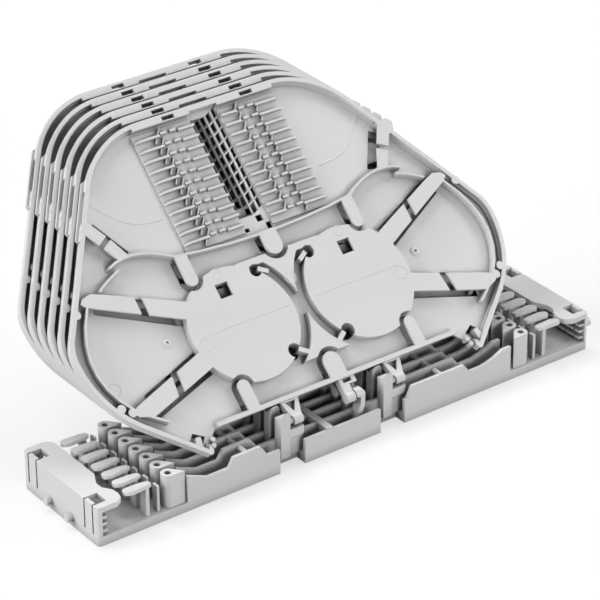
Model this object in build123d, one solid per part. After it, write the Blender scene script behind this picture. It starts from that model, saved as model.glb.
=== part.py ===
"""Fibre splice tray organiser: six hinged splice trays leaning back on one grooved base.

Millimetres, +Z up. X runs along the base and +Y goes from its front to its back. The functions
count y from the base's front edge, and the saved pieces are shifted so that the origin is the
middle of the base's underside. A distance called an inset is counted inward from the base's end
or from a tray's widest place.
"""
from build123d import *
import math
import os

os.makedirs("parts", exist_ok=True)

# The base
base_length = 300.0
base_height = 21.0
floor_top = 5.0
floor_skin = 2.2
end_wall = 2.5
corner_radius = 2.0
row_pitch = 8.8
row_count = 7
back_margin = 2.4
wall_thickness = 1.8
wall_high = 19.4
wall_low = 14.5
wall_middle = 13.2
recess_depth = 7.0
root = 1.0

# The posts, paddles and pins near the ends of the base
post_inset = 42.0
post_radius = 3.5
post_reach = 7.3
post_height = 22.5
post_hole = 1.7
paddle_inset = 20.6
paddle_radius = 3.4
paddle_thickness = 1.8
fence_inset = 34.8
top_plate = 2.8
pin_inset_y = 9.0
end_pin_radius = 2.0
end_pin_length = 3.0

# The trays
tray_count = 6
tray_lean = 42.9
tray_half_width = 127.0
tray_top = 158.0
tray_thickness = 5.5
tray_floor = 1.2
lip_width = 2.2
lip_overhang = 0.5
lip_thickness = 1.1
ledge_width = 3.0
ledge_depth = 2.4
hinge_edge = 3.0
foot_inset = 45.0
foot_v = -9.0
foot_radius = 1.2
plate_skin = 1.4
band_low = 154.0

# The coiling drums, whose radius is the smallest bend a stored fibre is given
drum_radius = 30.0
drum_u = 35.2
drum_v = 45.5
drum_hollow = 22.5
channel_radius = 35.6

# The hinge
axis_y = 7.2
axis_z = 22.0
axis_v = -6.5
axis_w = -tray_thickness / 2
pin_radius = 1.6
running_clearance = 0.08
swing_clearance = 0.35
side_clearance = 0.4
lug_u = 31.2
lug_top = 10.4
lug_length = 5.4
boss_radius = tray_thickness / 2
latch_right = 3.4
ear_width = 5.6
ear_rise = 7.1
ear_front = -3.0
ear_back = 2.2
shelf_height = 4.5
shelf_step = 1.2

# The splice holders
fin_pitch = 5.62
fin_count = 11
fin_first_v = 92.2
fin_thickness = 1.2
fin_top = -1.1
long_blade = 14.5
short_blade = 9.5
holder_width = 35.0
holder_plate = 0.8
holder_centres = (-26.8, 24.7)
holder_gap = 0.45
clip_posts = ((15.2, 18.8), (20.8, 24.2))
clip_step = 0.8
lattice_count = 10
lattice_first_v = 95.9
lattice_slope = 0.5
lattice_bar = 0.8

base_depth = row_count * row_pitch + back_margin
half_length = base_length / 2
foot_u = tray_half_width - foot_inset
floor_w = tray_floor - tray_thickness


def block(x0, x1, y0, y1, z0, z1):
    """A box given by its two corners."""
    size = Box(x1 - x0, y1 - y0, z1 - z0)
    return Pos((x0 + x1) / 2, (y0 + y1) / 2, (z0 + z1) / 2) * size


def end_block_box(sign, far, near, y0, y1, z0, z1):
    """A box near one end of the base, between two insets from that end."""
    x0, x1 = sorted((sign * (half_length - far), sign * (half_length - near)))
    return block(x0, x1, y0, y1, z0, z1)


def slab(points, z0, z1):
    """A flat polygon extruded from z0 up to z1."""
    face = make_face(Polyline(*points, close=True))
    return Pos(0, 0, z0) * extrude(face, amount=z1 - z0, dir=(0, 0, 1))


def disc(x, y, radius, z0, z1):
    """An upright cylinder."""
    return Pos(x, y, (z0 + z1) / 2) * Cylinder(radius, z1 - z0)


def rod_x(x0, x1, y, z, radius):
    """A cylinder lying along X."""
    return Pos((x0 + x1) / 2, y, z) * Rot(0, 90, 0) * Cylinder(radius, abs(x1 - x0))


def rod_y(x, y0, y1, z, radius):
    """A cylinder lying along Y."""
    return Pos(x, (y0 + y1) / 2, z) * Rot(90, 0, 0) * Cylinder(radius, y1 - y0)


def ribbon(points, thickness, z0, z1):
    """A thin upright wall that follows a line of points."""
    half = thickness / 2
    left = []
    right = []
    for i, (x, y) in enumerate(points):
        ax, ay = points[max(i - 1, 0)]
        bx, by = points[min(i + 1, len(points) - 1)]
        length = math.hypot(bx - ax, by - ay)
        nx = -(by - ay) / length * half
        ny = (bx - ax) / length * half
        left.append((x + nx, y + ny))
        right.append((x - nx, y - ny))
    return slab(left + right[::-1], z0, z1)


def bow(start, middle, end, count=7):
    """Points along the parabola through three points."""
    points = []
    for i in range(count + 1):
        t = i / count
        a = (1 - t) * (1 - 2 * t)
        b = 4 * t * (1 - t)
        c = t * (2 * t - 1)
        points.append(tuple(a * p + b * q + c * r for p, q, r in zip(start, middle, end)))
    return points


def flipped(points):
    """The same outline on the other side of the part's middle plane."""
    return [(-x, y) for x, y in points][::-1]


def both(points):
    """An outline and its mirror image."""
    return [points, flipped(points)]


def from_side(points):
    """An outline of a tray's right half whose first numbers are insets from the widest place."""
    return [(tray_half_width - inset, v) for inset, v in points]


# The side of a tray between its widest place and its shoulder
side_low = (tray_half_width, 61.7)
side_high = (tray_half_width - 61.5, tray_top)


def side_point(v, outward):
    """A point beside the slanted side of a tray's left half, at the height v."""
    du = side_high[0] - side_low[0]
    dv = side_high[1] - side_low[1]
    length = math.hypot(du, dv)
    u = side_low[0] + (v - side_low[1]) * du / dv
    return (-u - outward * dv / length, v - outward * du / length)


def tray_outline():
    """The trapezoid with rounded corners that bounds a tray's lip."""
    low_corner = (tray_half_width, 30.6)
    foot = (foot_u, foot_v)
    side = from_side([(54.0, hinge_edge), (48.5, -2.5)]) + [foot, low_corner, side_low, side_high]
    face = make_face(Polyline(*(side + flipped(side)), close=True))
    for (x, y), radius in ((low_corner, 54.0), (side_low, 22.0), (side_high, 48.0), (foot, foot_radius)):
        for sign in (1, -1):
            corner = face.vertices().sort_by_distance((sign * x, y, 0))[0]
            face = fillet(corner, radius)
    return face


def layer(face, z0, z1):
    """A face extruded from z0 up to z1."""
    return Pos(0, 0, z0) * extrude(face, amount=z1 - z0, dir=(0, 0, 1))


# The retaining straps of a tray's right half, each an inner and an outer tongue over a floor slot.
upper_strap = (
    [(57.0, 64.6), (79.6, 74.4), (79.6, 65.1), (60.0, 55.7)],
    from_side([
        (43.7, 76.0), (28.5, 82.6), (23.0, 84.6), (18.0, 83.4), (16.2, 81.2), (18.4, 78.9), (43.7, 66.9),
    ]),
)
upper_strap_slot = (
    [(61.5, 67.7)] + from_side([(30.0, 83.1), (22.8, 85.2), (22.8, 75.2)]) + [(62.6, 54.6)]
)
lower_strap = (
    [(60.0, 41.5), (79.7, 35.0), (80.9, 24.6), (60.0, 31.2)],
    from_side([(43.4, 33.7), (19.7, 25.9), (16.4, 23.6), (18.4, 20.9), (26.0, 18.4), (42.1, 23.4)]),
)
lower_strap_slot = [(64.2, 41.9)] + from_side([(27.6, 30.4), (29.0, 17.2)]) + [(60.2, 28.6)]
side_strap = (
    from_side([(33.4, 114.8), (38.9, 118.2), (44.7, 108.6), (39.3, 105.4)]),
    from_side([(46.1, 106.4), (40.7, 103.2), (45.6, 95.0), (51.0, 96.6)]),
)
side_strap_slot = from_side([(39.0, 115.0), (43.4, 117.6), (54.6, 98.6), (49.8, 97.4), (43.6, 101.0)])
shoulder_lug = from_side([(40.0, 119.2), (33.4, 120.0), (30.6, 117.2), (32.0, 112.4), (36.4, 110.8)])
strap_nubs = from_side([(12.0, 77.0), (11.6, 27.4), (16.2, 23.9)])
foot_gap = from_side([(54.5, 6.5), (54.5, -12.0), (47.4, -12.0), (45.4, -2.0), (48.0, 6.5)])
foot_slot = from_side([(38.2, 1.5), (41.9, 5.2), (47.4, 1.8), (43.4, -2.9)])
foot_finger = from_side([(39.0, -1.9), (41.0, 2.3), (43.6, 2.0), (42.6, -3.4)])
foot_hook = from_side([(49.2, -1.3), (48.2, -4.2)])

# The low walls that lead the fibre, on the right half, each through three points.
guide_lines = (
    from_side([(19.0, 79.0), (7.8, 50.0), (18.4, 24.0)]),
    [(53.0, 88.1)] + from_side([(55.0, 95.6), (38.5, 93.2)]),
    from_side([(43.0, 90.8), (35.8, 88.1), (28.5, 84.0)]),
    from_side([(22.0, 20.8), (26.6, 17.4), (31.7, 13.8)]),
)
holder_wall = ((-53.5, 88.2), (0.0, 84.6), (53.5, 88.2))

# The short tongues of the right half: centre u, root v, tip v and half width.
side_tongues = ((50.4, 88.0, 71.2, 3.35), (50.7, 4.4, 20.2, 3.3))
middle_tongues = ((0.0, 85.5, 72.4, 5.0), (0.0, 4.4, 17.8, 5.0))
hook_holes = ((16.0, 68.2, 3.3), (16.2, 24.2, 3.7))
hook_fingers = ((9.5, 65.6, 14.4, 68.6), (8.5, 20.5, 13.8, 24.3))
small_windows = ((-8.8, -6.2, 88.3, 90.3), (0.2, 3.8, 91.7, 95.0), (4.0, 6.8, 86.8, 90.2))
band_windows = ((-25.4, -18.2), (21.4, 29.0))
under_floor = -tray_thickness - 1


def tongue(u, root_v, tip, half, grow, z0, z1):
    """A strip with a round end, grown by a margin for the slot beneath it."""
    direction = 1 if tip > root_v else -1
    centre = tip - direction * half
    ends = sorted((root_v, centre))
    strip = block(u - half - grow, u + half + grow, ends[0], ends[1], z0, z1)
    return strip + disc(u, centre, half + grow, z0, z1)


def tongue_hole(u, root_v, tip, half):
    """The round opening left around the end of a tongue."""
    direction = 1 if tip > root_v else -1
    return disc(u, tip - direction * half, half + 2.6, floor_w, 0)


def islands():
    """The two drums, the plates between them and the cuts around the tongues and hooks."""
    pair = [disc(sign * drum_u, drum_v, drum_radius, floor_w, 0) for sign in (1, -1)]
    upper = slab([(-17, 72), (17, 72), (0, 46)], floor_w, 0)
    lower = slab([(-16, 17.2), (0, 44), (16, 17.2)], floor_w, 0)
    for sign in (1, -1):
        ring = disc(sign * drum_u, drum_v, channel_radius, floor_w, 0)
        upper = upper - ring
        lower = lower - ring
    bridge = block(-25, 25, 70.8, 74.4, floor_w, 0)
    plates = pair[0] + pair[1] + bridge
    for sign in (1, -1):
        for u, v, radius in hook_holes:
            plates = plates - disc(sign * u, v, radius, floor_w, 0)
        for u, root_v, tip, half in side_tongues:
            plates = plates - tongue_hole(sign * u, root_v, tip, half)
    plates = plates + upper + lower
    for u, root_v, tip, half in middle_tongues:
        plates = plates - tongue_hole(u, root_v, tip, half)
    for sign in (1, -1):
        for u0, v0, u1, v1 in hook_fingers:
            plates = plates + ribbon([(sign * u0, v0), (sign * u1, v1)], 2.4, floor_w, 0)
        plates = plates - disc(sign * drum_u, drum_v, drum_hollow, -tray_thickness, -plate_skin)
        plates = plates - block(sign * 37 - 3.6, sign * 37 + 3.6, 60.6, 68.0, -tray_thickness, 1)
    return plates


def lattice(low_u, high_u):
    """Two columns of slanted windows between the splice holders."""
    cuts = [block(low_u, high_u - 7.1, 96.0, 151.5, under_floor, 1)]
    for u0, u1 in ((high_u - 6.5, high_u - 3.4), (high_u - 2.2, high_u)):
        for i in range(lattice_count):
            left = lattice_first_v + i * fin_pitch + u0 * lattice_slope
            right = left + (u1 - u0) * lattice_slope
            rise = fin_pitch - lattice_bar
            window = [(u0, left), (u1, right), (u1, right + rise), (u0, left + rise)]
            cuts.append(slab(window, under_floor, 1))
    return cuts


def floor_openings():
    """Everything that is cut through a tray's floor."""
    skin = floor_w + 0.01
    cuts = []
    for slot in (upper_strap_slot, lower_strap_slot, side_strap_slot):
        for outline in both(slot):
            cuts.append(slab(outline, under_floor, skin))
    for u, root_v, tip, half in side_tongues + middle_tongues:
        start = root_v + (1.8 if tip > root_v else -1.7)
        for side_u in {u, -u}:
            cuts.append(tongue(side_u, start, tip, half, 1.3, under_floor, skin))
    for sign in (1, -1):
        cuts.append(disc(sign * drum_u, drum_v, drum_hollow, under_floor, skin))
        for u, v, radius in hook_holes:
            cuts.append(disc(sign * u, v, radius, under_floor, skin))
    for outline in both(foot_slot):
        cuts.append(slab(outline, under_floor, 1))
    for u0, u1, v0, v1 in small_windows:
        cuts.append(block(u0, u1, v0, v1, under_floor, skin))
    low_u = holder_centres[0] + holder_width / 2 + holder_gap
    high_u = holder_centres[1] - holder_width / 2 - holder_gap
    return cuts + lattice(low_u, high_u)


def hinge_lugs():
    """The two bored hinge lugs and the middle latch lug below a tray's hinge edge."""
    back = axis_w - 1.9
    front = axis_w + 1.9
    edge = hinge_edge
    half = lug_length / 2
    wide = lug_top / 2
    pieces = []
    for sign in (1, -1):
        middle = sign * lug_u
        right = [(half, axis_v), (wide, edge), (wide, edge + 1)]
        outline = [(middle + a, v) for a, v in flipped(right) + right]
        window = slab([(middle - 3.0, 2.0), (middle + 3.0, 2.0), (middle, -3.2)], back + 1.2, front + 1)
        boss = rod_x(middle - half, middle + half, axis_v, axis_w, boss_radius)
        bore = rod_x(middle - half - 1, middle + half + 1, axis_v, axis_w, pin_radius + running_clearance)
        pieces.append(slab(outline, back, front) - window + boss - bore)
    outline = [
        (-1.5, edge + 1), (-1.5, axis_v), (latch_right, axis_v),
        (latch_right, -0.6), (8.0, -0.6), (8.0, edge + 1),
    ]
    window = block(0.6, 5.6, 0.6, 2.6, back + 1.2, front + 1)
    boss = rod_x(-1.5, latch_right, axis_v, axis_w, boss_radius)
    pieces.append(slab(outline, back, front) - window + boss)
    return pieces


def rim():
    """A tray's floor and rim, with the ledge for a cover, the band at the top and the foot's gap."""
    outer = tray_outline()
    body = layer(offset(outer, amount=-lip_overhang), -tray_thickness, 0) + layer(outer, -lip_thickness, 0)
    body = body - layer(offset(outer, amount=-lip_width), -ledge_depth, 1)
    body = body - layer(offset(outer, amount=-ledge_width), floor_w, 1)
    for outline in both(foot_gap):
        body = body - slab(outline, floor_w, 1)
    body = body + block(-43.5, 41.0, band_low, tray_top - 1, -tray_thickness, 0)
    body = body - block(-9.5, 7.0, band_low - 1, band_low + 1.2, floor_w, 1)
    for u0, u1 in band_windows:
        body = body - block(u0, u1, band_low + 0.6, band_low + 2.7, under_floor, 1)
    latch_window = [side_point(119.5, -4), side_point(133, -4), side_point(133, 1), side_point(119.5, 1)]
    return body - slab(latch_window, floor_w, -lip_thickness)


def side_latch():
    """The clip on the left side of a tray: a wedge each side of its window and a bar below."""
    pieces = []
    for low, high in ((111.0, 118.5), (133.5, 139.0)):
        wedge = [side_point(low, -1), side_point(high, -1), side_point(high, 0), side_point(low, 0)]
        pieces.append(slab(wedge, -tray_thickness, 0))
    bar = [side_point(110.6, -1), side_point(139.4, -1), side_point(138.0, 1.2), side_point(112.0, 1.2)]
    pieces.append(slab(bar, -tray_thickness, floor_w + 0.6))
    return pieces


def tray_solid():
    """One tray in its own frame: u across, v up from the hinge edge, rim plane at zero."""
    body = rim() - floor_openings()
    skin = -plate_skin
    pieces = [islands()] + side_latch()
    for strap in (upper_strap, lower_strap, side_strap):
        for segment in strap:
            for outline in both(segment):
                pieces.append(slab(outline, skin, 0))
    for line in guide_lines:
        for outline in both(bow(*line)):
            pieces.append(ribbon(outline, 1.2, floor_w, 0))
    pieces.append(ribbon(bow(*holder_wall), 1.2, floor_w, 0))
    for u, root_v, tip, half in side_tongues + middle_tongues:
        for side_u in {u, -u}:
            pieces.append(tongue(side_u, root_v, tip, half, 0, skin, 0))
    pieces.append(slab(shoulder_lug, 2 * skin, 0))
    for sign in (1, -1):
        for u, v in strap_nubs:
            pieces.append(disc(sign * u, v, 2.2, skin, 0))
        for u, v in foot_hook:
            pieces.append(disc(sign * u, v, 1.2, -tray_thickness, skin))
    for outline in both(foot_finger):
        pieces.append(slab(outline, -tray_thickness, skin))
    return body + pieces + hinge_lugs()


def holder_solid(centre):
    """One snap-in splice holder: a thin plate with rows of blades and a clip between them."""
    left = centre - holder_width / 2
    right = centre + holder_width / 2
    low = fin_first_v - fin_pitch + 1.6
    high = fin_first_v + fin_count * fin_pitch - 1.7
    plate = block(left, right, low, high, floor_w, floor_w + holder_plate)
    rise = fin_top - floor_w
    ramp = [(0, 0), (long_blade, 0), (long_blade, rise), (3.4, rise), (1.2, 0.7 * rise), (0.2, 0.35 * rise)]
    far = holder_width - short_blade
    outlines = [(ramp, 0), ([(far, 0), (holder_width, 0), (holder_width, rise), (far, rise)], 0)]
    for near, end in clip_posts:
        outlines.append(([(near, 0), (end, 0), (end, rise), (near, rise)], clip_step))
    pieces = []
    for i in range(fin_count):
        v0 = fin_first_v + i * fin_pitch - fin_thickness / 2
        for outline, step in outlines:
            if centre > 0:
                points = [(right - x, 0, z) for x, z in outline]
            else:
                points = [(left + x, 0, z) for x, z in outline]
            blade = extrude(make_face(Polyline(*points, close=True)), amount=fin_thickness, dir=(0, 1, 0))
            pieces.append(Pos(0, v0 + step, floor_w) * blade)
    return plate + pieces


def seat(solid, row):
    """Moves a solid from the tray's own frame onto the base's hinge of the given row."""
    at_axis = Pos(0, -axis_v, -axis_w) * solid
    return Pos(0, axis_y + row * row_pitch, axis_z) * Rot(tray_lean, 0, 0) * at_axis


def wall_profile(front):
    """The heights of a guide wall along X; the front wall is broken by the two hinge recesses."""
    left = [(-foot_u - 18.0, wall_high), (-foot_u - 6.0, wall_low), (-foot_u + 6.0, wall_low),
            (-foot_u + 8.8, wall_high), (-57.6, wall_high), (-53.0, wall_middle)]
    right = [(31.4, wall_middle), (34.6, wall_high), (foot_u - 14.6, wall_high),
             (foot_u - 10.6, wall_low), (foot_u - 3.0, wall_low), (foot_u + 4.0, 16.2),
             (foot_u + 11.0, wall_high), (foot_u + 16.0, wall_high)]
    low = floor_top - root
    start = (-foot_u - 18.0, low)
    end = (foot_u + 16.0, low)
    if not front:
        return [[start] + left + right + [end]]
    return [
        [start] + left + [(-46.0, wall_middle), (-46.0, low)],
        [(-31.0, low), (-31.0, wall_middle), (15.0, wall_middle), (15.0, low)],
        [(30.0, low), (30.0, wall_middle)] + right + [end],
    ]


def wall(points, y0):
    """A guide wall of the given profile, standing on the base's floor."""
    face = make_face(Polyline(*[(x, 0, z) for x, z in points], close=True))
    return Pos(0, y0, 0) * extrude(face, amount=wall_thickness, dir=(0, 1, 0))


def side_profile(points, x0, x1):
    """A profile in Y and Z, extruded from x0 to x1."""
    face = make_face(Polyline(*[(0, y, z) for y, z in points], close=True))
    return Pos(x0, 0, 0) * extrude(face, amount=x1 - x0, dir=(1, 0, 0))


def ear_profile():
    """An ear's side view from its axis, rounded so that the tray in front swings over it."""
    reach = hinge_edge - axis_v - swing_clearance
    flat = pin_radius + 2.0
    low = floor_top - root - axis_z
    points = [(ear_front, low)]
    for i in range(5):
        y = ear_front + i * (math.sqrt(reach ** 2 - flat ** 2) - row_pitch - ear_front) / 4
        points.append((y, math.sqrt(reach ** 2 - (y + row_pitch) ** 2)))
    return points + [(ear_back, flat), (ear_back, low)]


def hinge_station(row):
    """The two ears with their pins and shelves, and the hook finger, of one tray."""
    y = axis_y + row * row_pitch
    low = floor_top - root
    front = y + ear_front
    back = y + ear_back
    shelf_top = axis_z - boss_radius - swing_clearance
    shelf_low = shelf_top - shelf_height
    ear_points = [(y + a, axis_z + b) for a, b in ear_profile()]
    pieces = []
    for sign in (1, -1):
        face_x = sign * lug_u - lug_top / 2 - side_clearance
        ear_x = face_x - ear_width
        pin_end = sign * lug_u + lug_length / 2 + 0.8
        round_z = axis_z + ear_rise - ear_width / 2
        arch = block(ear_x, face_x, front, back, low, round_z)
        arch = arch + rod_y(ear_x + ear_width / 2, front, back, round_z, ear_width / 2)
        pieces.append(side_profile(ear_points, ear_x, face_x) & arch)
        pieces.append(rod_x(face_x - root, pin_end, y, axis_z, pin_radius))
        pieces.append(block(face_x - root, pin_end - 1, front, back, shelf_low, shelf_top))
        pieces.append(block(face_x - root, pin_end - 1, front + shelf_step, back, low, shelf_low))
    finger = [
        (ear_front, low - axis_z), (ear_front, 1.0), (-1.6, 3.2),
        (0.2, 3.6), (ear_back, 3.0), (ear_back, low - axis_z),
    ]
    left = latch_right + side_clearance
    hook = [(left, 3.6), (left + 3.6, 3.6), (left + 4.8, 2.0), (left + 4.8, -4.5), (left + 3.4, -9.0),
            (left + 3.4, low - axis_z), (left + 0.4, low - axis_z), (left + 0.4, -9.0), (left + 2.2, -4.0),
            (left + 2.2, -0.6), (left, 0.2)]
    upright = side_profile([(y + a, axis_z + b) for a, b in finger], left, left + 4.8)
    pieces.append(upright & (Pos(0, front, axis_z) * wall_slice(hook)))
    return pieces


def wall_slice(points):
    """A profile in X and Z as deep as an ear."""
    face = make_face(Polyline(*[(x, 0, z) for x, z in points], close=True))
    return extrude(face, amount=ear_back - ear_front, dir=(0, 1, 0))


def paddle(sign, y0):
    """A tilted round-ended paddle that keeps the fibres of one channel down, on its stem."""
    tip = sign * (half_length - paddle_inset)
    neck = tip - sign * 8.0
    end = tip - sign * 11.0
    middle = 4.2
    sides = [(tip, middle - paddle_radius), (tip, middle + paddle_radius), (neck, middle + 2.8),
             (end, middle + 1.6), (end, middle - 1.6), (neck, middle - 2.8)]
    leaf = slab(sides, 0, paddle_thickness) + disc(tip, middle, paddle_radius, 0, paddle_thickness)
    stem = block(neck - 1.0, neck + 1.0, y0 + 1.6, y0 + 6.4, floor_top - root, 20.4)
    return Pos(0, y0, 20.6) * Rot(-13, 0, 0) * leaf + stem


def post(sign, y0):
    """A drop-shaped post with a blind hole, at a channel's mouth."""
    centre = sign * (half_length - post_inset)
    y = y0 + 4.4
    tip = (centre - sign * post_reach, y0 + 1.0)
    dx = tip[0] - centre
    dy = tip[1] - y
    lean = math.acos(post_radius / math.hypot(dx, dy))
    aim = math.atan2(dy, dx)
    touch = []
    for s in (1, -1):
        turn = aim + s * lean
        touch.append((centre + post_radius * math.cos(turn), y + post_radius * math.sin(turn)))
    low = floor_top - root
    drop = slab([tip, touch[0], (centre, y), touch[1]], low, post_height)
    hole = disc(centre, y, post_hole, 11.0, post_height + 1)
    return disc(centre, y, post_radius, low, post_height) + drop - hole


def end_block(sign):
    """The end wall, top plate with its lobe and the two snap tongues at one end of the base."""
    depth = base_depth
    insets = [(0, 0), (11.0, 0), (14.4, 2.4), (15.4, 6.0), (14.8, 10.0), (11.8, 14.5), (11.8, 19.0),
              (15.4, 26.0), (15.4, depth - 5.0), (14.6, depth - 2.4),
              (12.4, depth - 0.6), (10.0, depth), (0, depth)]
    plate = [(half_length - inset, y) for inset, y in insets]
    body = slab(plate if sign > 0 else flipped(plate), base_height - top_plate, base_height)
    body = body + end_block_box(sign, end_wall, 0, 0, depth, 0, base_height)
    body = body + end_block_box(sign, 10.0, 0, depth - 2, depth, 0, base_height)
    for z in (6.9, 10.5, 14.1):
        body = body + end_block_box(sign, end_wall + 3.0, 1.0, 0.6, depth - 1, z, z + 1.3)
    for low in (4.0, depth - 12.0):
        high = low + 8.0
        for y in (low, high - 1.0):
            body = body - end_block_box(sign, 7.4, -1.0, y, y + 1.0, base_height - 16, base_height + 1)
        body = body - end_block_box(sign, 7.4, 2.0, low + 0.5, high - 0.5, base_height - 4, base_height + 1)
    return body


def corner_cut(sign, y_corner, y_inward):
    """What rounds one upright corner of the base."""
    y = y_corner + y_inward * corner_radius
    ys = sorted((y_corner - y_inward, y))
    square = end_block_box(sign, corner_radius, -1.0, ys[0], ys[1], -1, base_height + 1)
    return square - disc(sign * (half_length - corner_radius), y, corner_radius, -2, base_height + 2)


def base_solid():
    """The grooved base with its guide walls, posts, paddles, hinge stations and end blocks."""
    half = half_length
    body = block(-half, half, 0, base_depth, 0, floor_top)
    pockets = ((3.5 - half, -49.0), (-27.5, 11.5), (34.0, half - 3.5))
    for x0, x1 in pockets:
        for y0, y1 in ((2.5, 30.8), (33.2, base_depth - 2.5)):
            body = body - block(x0, x1, y0, y1, -1, floor_top - floor_skin)
    for x0, x1 in ((-46.0, -31.0), (15.0, 30.0)):
        body = body - block(x0, x1, -1, recess_depth, -1, floor_top + 1)
    low = floor_top - root
    pieces = []
    for row in range(row_count):
        y0 = row * row_pitch
        for points in wall_profile(row == 0):
            pieces.append(wall(points, y0))
        for sign in (1, -1):
            pieces.append(post(sign, y0))
            pieces.append(paddle(sign, y0))
            fence = end_block_box(sign, fence_inset + 0.7, fence_inset - 0.7, y0 + 2.0, y0 + 5.6, low, 19.0)
            pieces.append(fence)
    pieces.append(block(13.5 - half, half - 13.5, base_depth - 2, base_depth, low, 8.0))
    last_wall = (row_count - 1) * row_pitch + 1
    pieces.append(block(-17.4, -13.6, 0.6, last_wall, wall_middle - 2.6, wall_middle + 0.8))
    bars = (-(foot_u + 46.0) / 2, foot_u - 27.0)
    for x in bars:
        pieces.append(rod_y(x, 0.6, last_wall, wall_high - 2.2, 1.3))
    for row in range(tray_count):
        pieces.extend(hinge_station(row))
    body = body + pieces + end_block(1) + end_block(-1)
    for sign in (1, -1):
        body = body - [corner_cut(sign, 0, 1), corner_cut(sign, base_depth, -1)]
        for y in (base_depth / 2 - pin_inset_y, base_depth / 2 + pin_inset_y):
            ends = (sign * (half - 1), sign * (half + end_pin_length))
            body = body + rod_x(min(ends), max(ends), y, floor_top, end_pin_radius)
    return body + rod_x(half - 1, half + end_pin_length, 3.4, 13.6, 2.2)


def save(solid, name):
    """Writes one piece to its own file, in the part's frame."""
    placed = Pos(0, -base_depth / 2, 0) * solid
    placed.label = name
    export_step(placed, f"parts/{name}.step")


save(base_solid(), "organiser_base")
tray = tray_solid()
holders = [holder_solid(centre) for centre in holder_centres]
letters = "abcdefghij"
for row in range(tray_count):
    letter = letters[row]
    save(seat(tray, row), f"splice_tray_{letter}")
    save(seat(holders[0], row), f"splice_holder_{letter}_left")
    save(seat(holders[1], row), f"splice_holder_{letter}_right")
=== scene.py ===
# %% [markdown]
# # Dressing a fibre splice tray organiser
#
# The organiser is a row of six thin plastic trays that lean back on one grooved base. The packed
# CAD model is the fixed frame of this scene: its pieces have their true sizes and places, in
# metres. Blender adds the fine moulded detail, the finish of the plastic, the studio and the
# camera. Nothing of the frame is moved.

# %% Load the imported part
import math

import bpy
import numpy as np
from mathutils import Matrix, Vector


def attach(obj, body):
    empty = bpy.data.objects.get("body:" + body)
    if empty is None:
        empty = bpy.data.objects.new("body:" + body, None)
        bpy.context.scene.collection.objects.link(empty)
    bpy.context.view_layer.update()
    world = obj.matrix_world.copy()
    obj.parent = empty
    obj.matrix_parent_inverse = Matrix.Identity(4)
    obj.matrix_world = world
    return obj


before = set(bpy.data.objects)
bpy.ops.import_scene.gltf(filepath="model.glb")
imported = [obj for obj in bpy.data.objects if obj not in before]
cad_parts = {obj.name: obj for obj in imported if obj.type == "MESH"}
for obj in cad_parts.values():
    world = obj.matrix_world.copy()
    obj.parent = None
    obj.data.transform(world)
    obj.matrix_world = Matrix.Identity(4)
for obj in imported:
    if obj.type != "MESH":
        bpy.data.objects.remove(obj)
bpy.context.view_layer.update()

# %% [markdown]
# ## The camera
#
# The photograph was taken from the front left and from above, with a long lens. Pairs of mirrored
# points on the front tray gave the camera's turn, height and distance. The same numbers are used
# here to build the camera's matrix: its three columns are the directions right, up and back. The
# focal length is given as a share of the picture's width, so it holds for any sensor.

# %% Camera
VIEW_TURN = math.radians(-36.7416)
VIEW_RISE = math.radians(29.4914)
VIEW_ROLL = math.radians(-0.2339)
VIEW_DISTANCE = 1.43004
VIEW_SLIDE = (0.0274942, -0.0694348)
FOCAL_SHARE = 2934.295 / 600
SENSOR_WIDTH = 36.0
FRONT_EDGE_TO_MIDDLE = 0.032


def camera_axes():
    """Right, up and back: back points from the part to the camera, and roll turns the other two."""
    back = Vector((math.sin(VIEW_TURN) * math.cos(VIEW_RISE), -math.cos(VIEW_TURN) * math.cos(VIEW_RISE),
                   math.sin(VIEW_RISE)))
    level = Vector((math.cos(VIEW_TURN), math.sin(VIEW_TURN), 0))
    rise = back.cross(level)
    right = level * math.cos(VIEW_ROLL) + rise * math.sin(VIEW_ROLL)
    up = rise * math.cos(VIEW_ROLL) - level * math.sin(VIEW_ROLL)
    return right, up, back


def make_camera():
    """Puts the camera at distance back - slide right - slide up, seen from the base's front edge."""
    right, up, back = camera_axes()
    place = back * VIEW_DISTANCE - right * VIEW_SLIDE[0] - up * VIEW_SLIDE[1]
    place.y -= FRONT_EDGE_TO_MIDDLE
    data = bpy.data.cameras.new("view")
    data.sensor_width = SENSOR_WIDTH
    data.lens = SENSOR_WIDTH * FOCAL_SHARE
    camera = bpy.data.objects.new("view", data)
    bpy.context.scene.collection.objects.link(camera)
    camera.matrix_world = Matrix(((right.x, up.x, back.x, place.x), (right.y, up.y, back.y, place.y),
                                  (right.z, up.z, back.z, place.z), (0, 0, 0, 1)))
    bpy.context.scene.camera = camera
    return camera


camera = make_camera()
print("camera at", [round(v, 3) for v in camera.matrix_world.translation], "lens", round(camera.data.lens, 1))

# %% [markdown]
# ## Building a material in code
#
# A material is a tree of nodes. These helpers add a node and fill its inputs in one call, so that
# a material reads from top to bottom. An input takes either a plain value or another node's output.

# %% Node helpers
def plug(tree, slot, value):
    """Links an output to an input, or sets the input to a plain value."""
    if isinstance(value, bpy.types.NodeSocket):
        tree.links.new(value, slot)
    else:
        slot.default_value = value


def add_node(tree, kind, **inputs):
    """Adds a node and fills its named inputs, with _ in place of each space in a name."""
    node = tree.nodes.new(kind)
    for name, value in inputs.items():
        plug(tree, node.inputs[name.replace("_", " ")], value)
    return node


def add_math(tree, operation, first, second):
    """The output of a Math node that joins two values or outputs."""
    node = tree.nodes.new("ShaderNodeMath")
    node.operation = operation
    plug(tree, node.inputs[0], first)
    plug(tree, node.inputs[1], second)
    return node.outputs["Value"]


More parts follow.
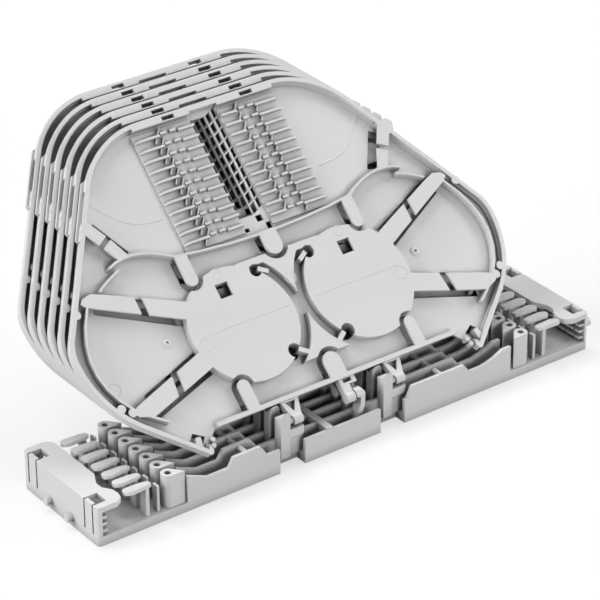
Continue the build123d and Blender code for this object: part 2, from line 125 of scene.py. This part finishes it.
def map_range(tree, value, given, wanted):
    """Maps the range given = (low, high) of an output onto the range wanted, and holds it at both ends."""
    node = add_node(tree, "ShaderNodeMapRange", Value=value, From_Min=given[0], From_Max=given[1],
                    To_Min=wanted[0], To_Max=wanted[1])
    return node.outputs["Result"]


def fresh_tree(owner):
    """The emptied node tree of a material or a world."""
    owner.use_nodes = True
    owner.node_tree.nodes.clear()
    return owner.node_tree


helpers = (plug, add_node, add_math, map_range, fresh_tree)
print("node helpers:", ", ".join(helper.__name__ for helper in helpers))

# %% [markdown]
# ## The moulded plastic
#
# The real parts are injection moulded in a light-grey engineering plastic. Its surface has a very
# fine satin grain from the mould, a faint cloudiness and faint streaks where the melt flowed, and
# edges that are never quite sharp. The grain is a fine noise in a bump, and the cloudiness and the
# streaks are wide noises in the colour. A Bevel node rounds the light over each edge, which costs
# no extra faces. An Ambient Occlusion node paints shade into the colour: it darkens the colour deep
# in narrow gaps, where the photograph is nearly black.

# %% Plastic material
GRAIN_PER_METRE = 2600.0
GRAIN_STRENGTH = 0.14
GRAIN_DEPTH = 0.00003
CLOUD_PER_METRE = 14.0
CLOUD_SPREAD = 0.02
STREAKS_PER_METRE = (6.0, 45.0, 45.0)
STREAK_SPREAD = 0.015
NOISE_RANGE = (0.3, 0.7)
ROUGHNESS_SPREAD = 0.03
PLASTIC_IOR = 1.5
# Painted shade: the Ambient Occlusion node darkens the colour to GAP_SHADE in gaps narrower than GAP_REACH.
GAP_REACH = 0.012
GAP_SHADE = 0.25
OPENNESS_RANGE = (0.1, 0.75)
SIDE_RAYS = 4


def noise(tree, place, scale, detail):
    """The grey value of a noise pattern, about 0.3 to 0.7."""
    pattern = add_node(tree, "ShaderNodeTexNoise", Vector=place, Scale=scale, Detail=detail)
    return pattern.outputs["Fac"]


def painted_gap_shade(tree):
    """Painted shade: a share of the colour, from 1 in the open to GAP_SHADE deep in a gap narrower than
    GAP_REACH.
    """
    gap = add_node(tree, "ShaderNodeAmbientOcclusion", Distance=GAP_REACH)
    gap.samples = SIDE_RAYS
    return map_range(tree, gap.outputs["AO"], OPENNESS_RANGE, (GAP_SHADE, 1.0))


def scaled_colour(tree, colour, factor):
    """The colour multiplied by a factor that varies over the surface."""
    node = tree.nodes.new("ShaderNodeVectorMath")
    node.operation = "SCALE"
    plug(tree, node.inputs[0], colour)
    plug(tree, node.inputs["Scale"], factor)
    return node.outputs["Vector"]


def moulded_plastic(name, shade, rounding, rough=0.42):
    """A satin moulded plastic with painted shade in its gaps: colour = shade (1 + cloud + streak) times the
    painted gap shade.

    shade is a linear colour, rounding the radius of the edges in metres, rough the mean roughness.
    """
    material = bpy.data.materials.new(name)
    tree = fresh_tree(material)
    place = add_node(tree, "ShaderNodeTexCoord").outputs["Object"]
    flow = add_node(tree, "ShaderNodeMapping", Vector=place, Scale=STREAKS_PER_METRE).outputs["Vector"]
    grain = noise(tree, place, GRAIN_PER_METRE, 2.0)
    cloud = noise(tree, place, CLOUD_PER_METRE, 4.0)
    streak = noise(tree, flow, 1.0, 3.0)
    bright = add_math(tree, "ADD", map_range(tree, cloud, NOISE_RANGE, (-CLOUD_SPREAD, CLOUD_SPREAD)),
                      map_range(tree, streak, NOISE_RANGE, (1 - STREAK_SPREAD, 1 + STREAK_SPREAD)))
    # Painted shade: the colour is darkened deep in narrow gaps by the Ambient Occlusion share.
    colour = scaled_colour(tree, shade, add_math(tree, "MULTIPLY", bright, painted_gap_shade(tree)))
    soft_edge = add_node(tree, "ShaderNodeBevel", Radius=rounding)
    soft_edge.samples = SIDE_RAYS
    bump = add_node(tree, "ShaderNodeBump", Strength=GRAIN_STRENGTH, Distance=GRAIN_DEPTH, Height=grain,
                    Normal=soft_edge.outputs["Normal"])
    roughness = map_range(tree, streak, NOISE_RANGE, (rough - ROUGHNESS_SPREAD, rough + ROUGHNESS_SPREAD))
    surface = add_node(tree, "ShaderNodeBsdfPrincipled", Base_Color=colour, Roughness=roughness,
                       IOR=PLASTIC_IOR, Normal=bump.outputs["Normal"])
    add_node(tree, "ShaderNodeOutputMaterial", Surface=surface.outputs["BSDF"])
    return material


TRAY_SHADE = (0.695, 0.70, 0.705)
BASE_SHADE = (0.695, 0.70, 0.705)
HOLDER_SHADE = (0.69, 0.695, 0.70)
# Every plastic here carries the painted shade of narrow gaps in its colour.
plastics = {
    "tray_plastic": moulded_plastic("satin_tray", TRAY_SHADE, rounding=0.0003),
    "base_plastic": moulded_plastic("satin_base", BASE_SHADE, rounding=0.0004),
    "holder_plastic": moulded_plastic("satin_holder", HOLDER_SHADE, rounding=0.0002, rough=0.4),
}
print("plastics:", sorted(plastics))

# %% [markdown]
# ## Which piece has which plastic
#
# The record names a material slot for each node of the frame. The node's name tells which one:
# trays, holders and the base have a plastic each, so that each can be given its own colour later.

# %% Give the plastics to the nodes
def finish_for(node):
    """The record's material slot of a node, by its name."""
    if node.startswith("splice_tray"):
        return "tray_plastic"
    return "holder_plastic" if node.startswith("splice_holder") else "base_plastic"


for name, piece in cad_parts.items():
    piece.data.materials.clear()
    piece.data.materials.append(plastics[finish_for(name)])
print("plastics given to", len(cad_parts), "nodes")

# %% [markdown]
# ## A tray's own frame
#
# Detail is easiest to place in a tray's own frame: u runs across it, v up from its hinge edge and
# w out of its face, with w = 0 at the rim. All six trays are the same, so each piece is made once
# in that frame and then turned about the hinge and moved to its row. The numbers are in
# millimetres and are those of the CAD source.

# %% From a tray's frame to the part's frame
LEAN = math.radians(42.9)
HINGE_V = -6.5
HINGE_W = -2.75
FIRST_HINGE_Y = -24.8
HINGE_Z = 22.0
ROW_PITCH = 8.8
TRAY_LETTERS = "abcdef"
TRAY_TOP_V = 158.0
FLOOR_W = -4.3


def to_part(points, row):
    """Millimetres (u, v, w) of a tray to metres (x, y, z) of the part.

    With along = v - hinge v and out = w - hinge w, x = u,
    y = hinge y + pitch row + along cos(lean) - out sin(lean) and
    z = hinge z + along sin(lean) + out cos(lean).
    """
    u, v, w = np.asarray(points, float).T
    along = v - HINGE_V
    out = w - HINGE_W
    y = FIRST_HINGE_Y + ROW_PITCH * row + along * math.cos(LEAN) - out * math.sin(LEAN)
    z = HINGE_Z + along * math.sin(LEAN) + out * math.cos(LEAN)
    return np.stack([u, y, z], axis=1) / 1000


top_middle = to_part([(0.0, TRAY_TOP_V, 0.0)], 0)[0]
print("top middle of the front tray, in metres:", [round(float(v), 4) for v in top_middle])

# %% [markdown]
# ## Adding a piece
#
# A piece of detail is one mesh joined from many small parts. It rides on its tray's body, so it
# turns with the tray, and it is told its material slot, as every piece of the frame is.

# %% Join parts into a piece
def add_piece(name, parts, row, finish, smooth):
    """Joins parts, each its points and faces, into one mesh that rides on the row's tray.

    finish names the record's material slot, and the piece gets the plastic made for it.
    """
    counts = np.cumsum([0] + [len(points) for points, _ in parts])
    points = to_part(np.concatenate([points for points, _ in parts]), row)
    faces = [[int(start + i) for i in face] for start, (_, part) in zip(counts, parts) for face in part]
    mesh = bpy.data.meshes.new(name)
    mesh.from_pydata(points.tolist(), [], faces)
    mesh.polygons.foreach_set("use_smooth", [smooth] * len(mesh.polygons))
    mesh.materials.append(plastics[finish])
    piece = bpy.data.objects.new(name, mesh)
    bpy.context.scene.collection.objects.link(piece)
    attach(piece, "tray_" + TRAY_LETTERS[row])
    return piece


print("trays that pieces can ride on:", ", ".join("tray_" + letter for letter in TRAY_LETTERS))

# %% [markdown]
# ## Ridges, plates and domes
#
# Three surfaces are enough for the fine detail. A ridge is an ellipse carried along a path. A
# plate is an outline given a thickness. A dome is a small arc turned about an axis. Each is a
# closed surface, and its lower part is sunk in the plastic below, so that no edge shows.

# %% The three surfaces
DOME_ANGLES = (-40.0, 0.0, 30.0, 55.0, 80.0)


def ring_faces(rows, columns, closed):
    """Quads of a grid whose columns go round, and whose rows go round too if closed."""
    i, j = np.meshgrid(np.arange(rows if closed else rows - 1), np.arange(columns), indexing="ij")
    i, j = i.ravel(), j.ravel()
    ahead, beside = (i + 1) % rows, (j + 1) % columns
    return np.stack([i * columns + j, i * columns + beside, ahead * columns + beside, ahead * columns + j],
                    axis=1).tolist()


def end_caps(rows, columns):
    """The two faces that close the first and the last row of a grid whose columns go round."""
    last = (rows - 1) * columns
    return [list(range(columns))[::-1], list(range(last, last + columns))]


def ridge(path, half_width, height, level, closed=False, sides=8):
    """A low rounded ridge along a path.

    P(i, t) = path(i) + half_width cos(t) normal(i), at w = level + height sin(t).
    """
    path = np.asarray(path, float)
    if closed:
        ahead = np.roll(path, -1, axis=0) - np.roll(path, 1, axis=0)
    else:
        ahead = np.gradient(path, axis=0)
    ahead /= np.linalg.norm(ahead, axis=1, keepdims=True)
    normal = np.stack([-ahead[:, 1], ahead[:, 0]], axis=1)
    t = np.linspace(0, 2 * np.pi, sides, endpoint=False)
    flat = path[:, None, :] + half_width * np.cos(t)[None, :, None] * normal[:, None, :]
    w = np.broadcast_to(level + height * np.sin(t), flat.shape[:2])
    points = np.concatenate([flat, w[..., None]], axis=2).reshape(-1, 3)
    faces = ring_faces(len(path), sides, closed)
    return points, faces if closed else faces + end_caps(len(path), sides)


def plate(outline, low, high):
    """A flat piece: the outline, counter-clockwise, at w = low and at w = high, and one face a side."""
    outline = np.asarray(outline, float)
    n = len(outline)
    points = np.concatenate([np.column_stack([outline, np.full(n, w)]) for w in (low, high)])
    i = np.arange(n)
    j = (i + 1) % n
    return points, end_caps(2, n) + np.stack([i, j, j + n, i + n], axis=1).tolist()


def dome(centre, radius, height, level, sides=24):
    """A low dome: r = radius cos(t) and w = level + height sin(t), turned about its axis.

    t runs up to 80 degrees. Below 0 the radius stays and the wall goes down into the plastic.
    """
    t = np.radians(DOME_ANGLES)
    turn = np.linspace(0, 2 * np.pi, sides, endpoint=False)
    r = radius * np.cos(np.maximum(t, 0))
    u = centre[0] + r[:, None] * np.cos(turn)
    v = centre[1] + r[:, None] * np.sin(turn)
    w = np.broadcast_to((level + height * np.sin(t))[:, None], u.shape)
    points = np.stack([u, v, w], axis=2).reshape(-1, 3)
    sides_up = [face[::-1] for face in ring_faces(len(t), sides, False)]
    return points, sides_up + end_caps(len(t), sides)


print("a dome has", len(dome((0, 0), 2.9, 0.8, 0)[1]), "faces")

# %% [markdown]
# ## Paths
#
# A ridge needs a path. One kind is a circle. The other goes through a few corners and is eased
# there, by taking the mean of nearby places on the bent line.

# %% Circles and eased lines
EASE_REACH = 0.12


def circle(centre, radius, count=40):
    """Points round a circle, counter-clockwise: centre + radius (cos, sin)."""
    turn = np.linspace(0, 2 * np.pi, count, endpoint=False)
    return np.stack([centre[0] + radius * np.cos(turn), centre[1] + radius * np.sin(turn)], axis=1)


def curve_through(corners, count=24):
    """A smooth path by a few corners: each point is the mean of 9 within EASE_REACH of the line's length."""
    corners = np.asarray(corners, float)
    steps = np.concatenate([[0], np.cumsum(np.linalg.norm(np.diff(corners, axis=0), axis=1))])
    at = np.linspace(0, steps[-1], count)
    reach = EASE_REACH * steps[-1]
    shifts = np.linspace(-reach, reach, 9)
    inside = np.clip(at[:, None] + shifts, 0, steps[-1])
    return np.stack([np.interp(inside, steps, corners[:, k]).mean(axis=1) for k in (0, 1)], axis=1)


print("a ridge round a circle has", len(ridge(circle((0, 0), 3.3), 0.3, 0.1, 0, closed=True)[1]), "faces")

# %% [markdown]
# ## Marks of the mould
#
# Ejector pins leave faint rings where they push the tray out of its mould. The two drums also
# show a parting line, and the floor has a shallow step on each side of the splice holders. A ridge
# is given as its half width and height, both far below a millimetre.

# %% Rings, lines and domes on the trays
RING_RIDGE = (0.28, 0.13)
STEP_RIDGE = (0.5, 0.22)
DRUM_RIDGE = (0.14, 0.07)
EJECTOR_RINGS = (((59.5, 42.0), 3.3, 0.0), ((-59.5, 42.0), 3.3, 0.0), ((37.0, 73.0), 2.6, 0.0),
                 ((-37.0, 73.0), 2.6, 0.0), ((0.0, 59.0), 3.0, 0.0), ((-112.0, 38.0), 3.2, FLOOR_W))
STEP_LINE = ((86.0, 132.0), (70.0, 115.0), (62.0, 110.0), (46.0, 108.6))
DRUM_LINE = ((8.0, 46.0), (34.0, 46.0), (60.0, 46.0))
DOME_U, DOME_V = 75.7, 50.5
DOME_RADIUS = 2.9
DOME_HEIGHT = 0.8


def mould_marks():
    """The marks of one tray as ridges and domes."""
    parts = [ridge(circle(centre, radius), *RING_RIDGE, level, closed=True)
             for centre, radius, level in EJECTOR_RINGS]
    for sign in (1, -1):
        mirror = np.array([sign, 1.0])
        parts.append(ridge(curve_through(STEP_LINE) * mirror, *STEP_RIDGE, FLOOR_W))
        parts.append(ridge(np.array(DRUM_LINE) * mirror, *DRUM_RIDGE, 0.0))
        parts.append(dome((sign * DOME_U, DOME_V), DOME_RADIUS, DOME_HEIGHT, FLOOR_W))
    return parts


marks = mould_marks()
for row, letter in enumerate(TRAY_LETTERS):
    add_piece("tray_marks_" + letter, marks, row, "tray_plastic", True)
print("marks on each tray:", len(marks), "ridges and domes")

# %% [markdown]
# ## Springs of the splice holders
#
# Between the blades of a splice holder stand thin slanted springs that press on the splice
# sleeves. Each row has the same four, so they are given once for the lowest row, as start and end
# points, and repeated up the holders.

# %% Holder springs
FIN_FIRST_V = 92.2
FIN_PITCH = 5.62
FIN_COUNT = 11
SPRING_THICKNESS = 0.5
SPRING_LOW = -3.7
SPRING_HIGH = -1.5
SPRINGS = (((-30.7, 0.4), (-27.8, 4.4)), ((-33.6, -3.6), (-32.0, -0.9)), ((15.9, 0.4), (18.6, 4.4)),
           ((27.4, -3.4), (29.0, -0.7)))


def spring(start, end, row_v):
    """A thin upright plate from start to end, shifted up by row_v: the line widened by its normal."""
    start = np.array(start) + (0, row_v)
    end = np.array(end) + (0, row_v)
    along = (end - start) / np.linalg.norm(end - start)
    side = np.array([-along[1], along[0]]) * SPRING_THICKNESS / 2
    return plate([start - side, end - side, end + side, start + side], SPRING_LOW, SPRING_HIGH)


springs = [spring(start, end, FIN_FIRST_V + FIN_PITCH * i)
           for i in range(FIN_COUNT) for start, end in SPRINGS]
for row, letter in enumerate(TRAY_LETTERS):
    add_piece("holder_springs_" + letter, springs, row, "holder_plastic", False)
print("springs on each tray:", len(springs))

# %% [markdown]
# ## The floor
#
# The photograph is a white packshot. The floor is a wide white disc that also glows a little
# towards the camera, so its lit part is pure white, while the soft shadow under the part stays.

# %% Floor
FLOOR_RADIUS = 4.0
FLOOR_SIDES = 64
FLOOR_BELOW = 0.0002
FLOOR_PAINT = 0.35
FLOOR_GLOW = 0.62


def floor_disc():
    """A flat round floor, one face of FLOOR_SIDES corners, FLOOR_BELOW metres under the part."""
    ring = circle((0.0, 0.0), FLOOR_RADIUS, FLOOR_SIDES)
    points = np.column_stack([ring, np.full(FLOOR_SIDES, -FLOOR_BELOW)])
    mesh = bpy.data.meshes.new("floor")
    mesh.from_pydata(points.tolist(), [], [list(range(FLOOR_SIDES))])
    floor = bpy.data.objects.new("floor", mesh)
    bpy.context.scene.collection.objects.link(floor)
    return floor


def seen_directly(tree):
    """1 for the rays of the camera and those that pass through glass, 0 for rays that carry soft light."""
    path = add_node(tree, "ShaderNodeLightPath")
    return add_math(tree, "MAXIMUM", path.outputs["Is Camera Ray"], path.outputs["Is Transmission Ray"])


def floor_paint():
    """White paint that glows a little towards the camera: diffuse paint plus glow times seen."""
    material = bpy.data.materials.new("floor_paint")
    tree = fresh_tree(material)
    paint = add_node(tree, "ShaderNodeBsdfDiffuse", Color=(FLOOR_PAINT, FLOOR_PAINT, FLOOR_PAINT, 1.0))
    strength = add_math(tree, "MULTIPLY", seen_directly(tree), FLOOR_GLOW)
    glow = add_node(tree, "ShaderNodeEmission", Strength=strength)
    both = tree.nodes.new("ShaderNodeAddShader")
    plug(tree, both.inputs[0], paint.outputs["BSDF"])
    plug(tree, both.inputs[1], glow.outputs["Emission"])
    add_node(tree, "ShaderNodeOutputMaterial", Surface=both.outputs["Shader"])
    return material


floor = floor_disc()
floor.data.materials.append(floor_paint())
print("floor radius", FLOOR_RADIUS, "m, paint", FLOOR_PAINT, "glow", FLOOR_GLOW)

# %% [markdown]
# ## The world
#
# The camera sees the world as plain white. The part only gets a little even light from it, so
# that the gaps between the trays stay dark as in the photograph.

# %% World
SKY_LEVEL = 0.02


def light_world():
    """A dim even sky that the camera sees as white: strength = level + (1 - level) seen."""
    world = bpy.data.worlds.new("studio")
    bpy.context.scene.world = world
    tree = fresh_tree(world)
    extra = add_math(tree, "MULTIPLY", seen_directly(tree), 1.0 - SKY_LEVEL)
    sky = add_node(tree, "ShaderNodeBackground", Color=(1.0, 1.0, 1.0, 1.0),
                   Strength=add_math(tree, "ADD", extra, SKY_LEVEL))
    add_node(tree, "ShaderNodeOutputWorld", Surface=sky.outputs["Background"])


light_world()
print("sky level", SKY_LEVEL)

# %% [markdown]
# ## The lamps
#
# The photograph was lit by large soft boxes on both sides, behind and in front, which leave the
# base's front faces a little darker than its top. Each box is a broad sun here. How strong each
# must be was first found by rendering the part once under every lamp alone, and looking for the
# mix of those pictures that comes closest to the photograph's tones. The last changes were made by
# comparing patches of the render with the same patches of the photograph.

# %% Lamps
SUN_SPREAD = 30.0
LAMPS = {
    "behind": ((0.0, 0.5, 1.0), 1.12),
    "left": ((-1.0, 0.0, 0.35), 1.38),
    "left_behind": ((-0.8, 0.6, 0.6), 1.65),
    "right": ((1.0, -0.45, 0.45), 1.20),
    "right_behind": ((0.6, 0.3, 1.0), 0.68),
    "front": ((0.0, -1.0, 0.25), 1.29),
}


def soft_sun(name, direction, strength):
    """A broad sun that shines from the given direction towards the part."""
    data = bpy.data.lights.new(name, "SUN")
    data.energy = strength
    data.angle = math.radians(SUN_SPREAD)
    lamp = bpy.data.objects.new(name, data)
    bpy.context.scene.collection.objects.link(lamp)
    lamp.rotation_mode = "QUATERNION"
    lamp.rotation_quaternion = Vector(direction).to_track_quat("Z", "Y")
    return lamp


for name, (direction, strength) in LAMPS.items():
    soft_sun(name, direction, strength)
print("lamps:", sorted(LAMPS))

# %% [markdown]
# ## The colour view
#
# The colours are shown as they are, without a film look.

# %% Finish the colour view
bpy.context.scene.view_settings.view_transform = "Standard"
